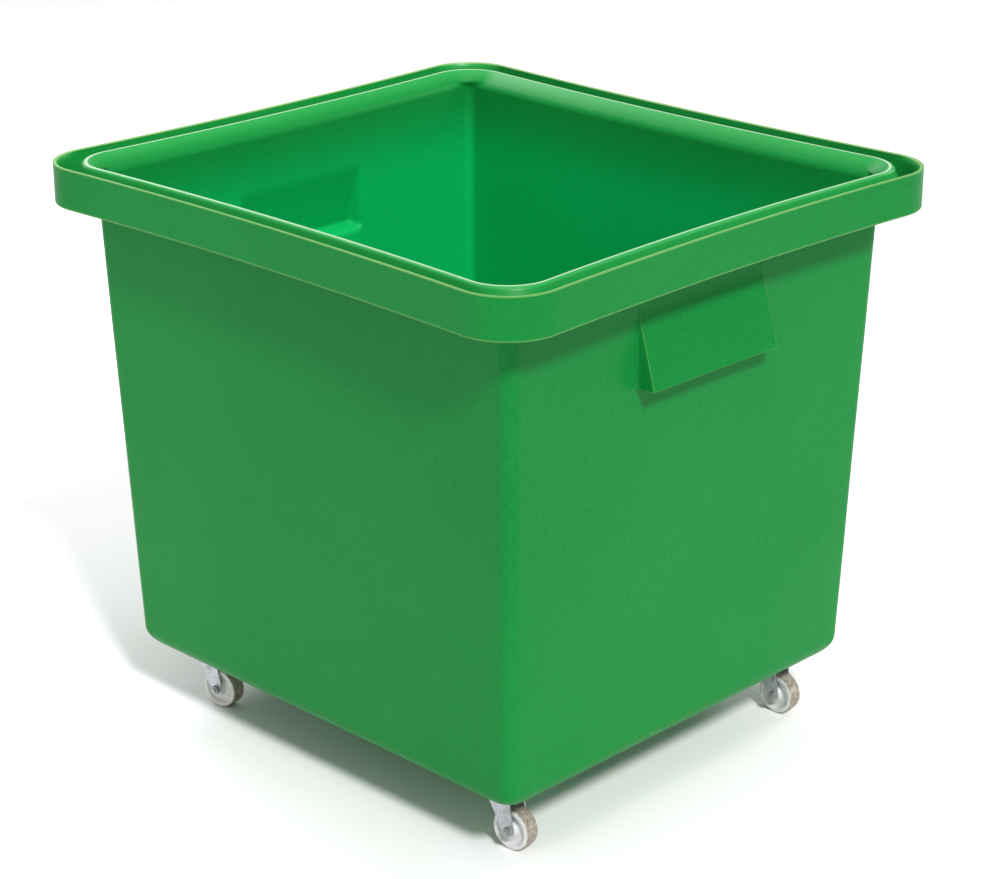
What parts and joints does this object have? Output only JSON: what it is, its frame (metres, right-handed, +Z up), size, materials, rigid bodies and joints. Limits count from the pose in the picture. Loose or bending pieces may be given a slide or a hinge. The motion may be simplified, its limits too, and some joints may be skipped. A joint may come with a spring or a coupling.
{
  "type": "mobile storage tub",
  "caption": "Open-topped plastic tub with a rolled rim and moulded hand grips, standing on swivel castors bolted through its floor.",
  "frame": {"origin": "on the ground under the middle of the tub", "axes": "+X along the tub from grip to grip, -Y towards the front without a grip, +Z up"},
  "size_m": [0.7768, 0.7198, 0.697],
  "materials": {
    "green_plastic": "satin moulded polyethylene",
    "zinc_plate": "bright zinc-plated pressed sheet, dulled",
    "steel": "zinc-plated machined steel",
    "nylon": "smooth white nylon, its tread scuffed"
  },
  "bodies": {
    "tub": {"tub": "green_plastic", "front_right_top_plate": "zinc_plate", "front_right_king_pin": "steel", "front_right_race_cup": "zinc_plate", "front_right_mounting_bolts": "steel", "front_right_mounting_washers": "steel", "front_right_mounting_nuts": "steel", "front_left_top_plate": "zinc_plate", "front_left_king_pin": "steel", "front_left_race_cup": "zinc_plate", "front_left_mounting_bolts": "steel", "front_left_mounting_washers": "steel", "front_left_mounting_nuts": "steel", "back_right_top_plate": "zinc_plate", "back_right_king_pin": "steel", "back_right_race_cup": "zinc_plate", "back_right_mounting_bolts": "steel", "back_right_mounting_washers": "steel", "back_right_mounting_nuts": "steel", "back_left_top_plate": "zinc_plate", "back_left_king_pin": "steel", "back_left_race_cup": "zinc_plate", "back_left_mounting_bolts": "steel", "back_left_mounting_washers": "steel", "back_left_mounting_nuts": "steel"},
    "front_right_castor": {"front_right_fork": "zinc_plate", "front_right_upper_balls": "steel", "front_right_lower_balls": "steel", "front_right_axle_bolt": "steel", "front_right_axle_nut": "steel", "front_right_axle_sleeve": "steel"},
    "front_right_rolling": {"front_right_wheel": "nylon"},
    "front_left_castor": {"front_left_fork": "zinc_plate", "front_left_upper_balls": "steel", "front_left_lower_balls": "steel", "front_left_axle_bolt": "steel", "front_left_axle_nut": "steel", "front_left_axle_sleeve": "steel"},
    "front_left_rolling": {"front_left_wheel": "nylon"},
    "back_right_castor": {"back_right_fork": "zinc_plate", "back_right_upper_balls": "steel", "back_right_lower_balls": "steel", "back_right_axle_bolt": "steel", "back_right_axle_nut": "steel", "back_right_axle_sleeve": "steel"},
    "back_right_rolling": {"back_right_wheel": "nylon"},
    "back_left_castor": {"back_left_fork": "zinc_plate", "back_left_upper_balls": "steel", "back_left_lower_balls": "steel", "back_left_axle_bolt": "steel", "back_left_axle_nut": "steel", "back_left_axle_sleeve": "steel"},
    "back_left_rolling": {"back_left_wheel": "nylon"}
  },
  "joints": [
    {"name": "front_right_swivel", "type": "hinge", "parent": "tub", "child": "front_right_castor", "pos_m": [0.254, -0.236, 0.0704], "axis": [0, 0, 1], "continuous": true},
    {"name": "front_right_roll", "type": "hinge", "parent": "front_right_castor", "child": "front_right_rolling", "pos_m": [0.27392, -0.23426, 0.025], "axis": [-0.0872, 0.9962, 0], "continuous": true},
    {"name": "front_left_swivel", "type": "hinge", "parent": "tub", "child": "front_left_castor", "pos_m": [-0.254, -0.236, 0.0704], "axis": [0, 0, 1], "continuous": true},
    {"name": "front_left_roll", "type": "hinge", "parent": "front_left_castor", "child": "front_left_rolling", "pos_m": [-0.23425, -0.23287, 0.025], "axis": [-0.1564, 0.9877, 0], "continuous": true},
    {"name": "back_right_swivel", "type": "hinge", "parent": "tub", "child": "back_right_castor", "pos_m": [0.254, 0.236, 0.0704], "axis": [0, 0, 1], "continuous": true},
    {"name": "back_right_roll", "type": "hinge", "parent": "back_right_castor", "child": "back_right_rolling", "pos_m": [0.274, 0.236, 0.025], "axis": [0, 1, 0], "continuous": true},
    {"name": "back_left_swivel", "type": "hinge", "parent": "tub", "child": "back_left_castor", "pos_m": [-0.254, 0.236, 0.0704], "axis": [0, 0, 1], "continuous": true},
    {"name": "back_left_roll", "type": "hinge", "parent": "back_left_castor", "child": "back_left_rolling", "pos_m": [-0.23405, 0.2374, 0.025], "axis": [-0.0698, 0.9976, 0], "continuous": true}
  ]
}
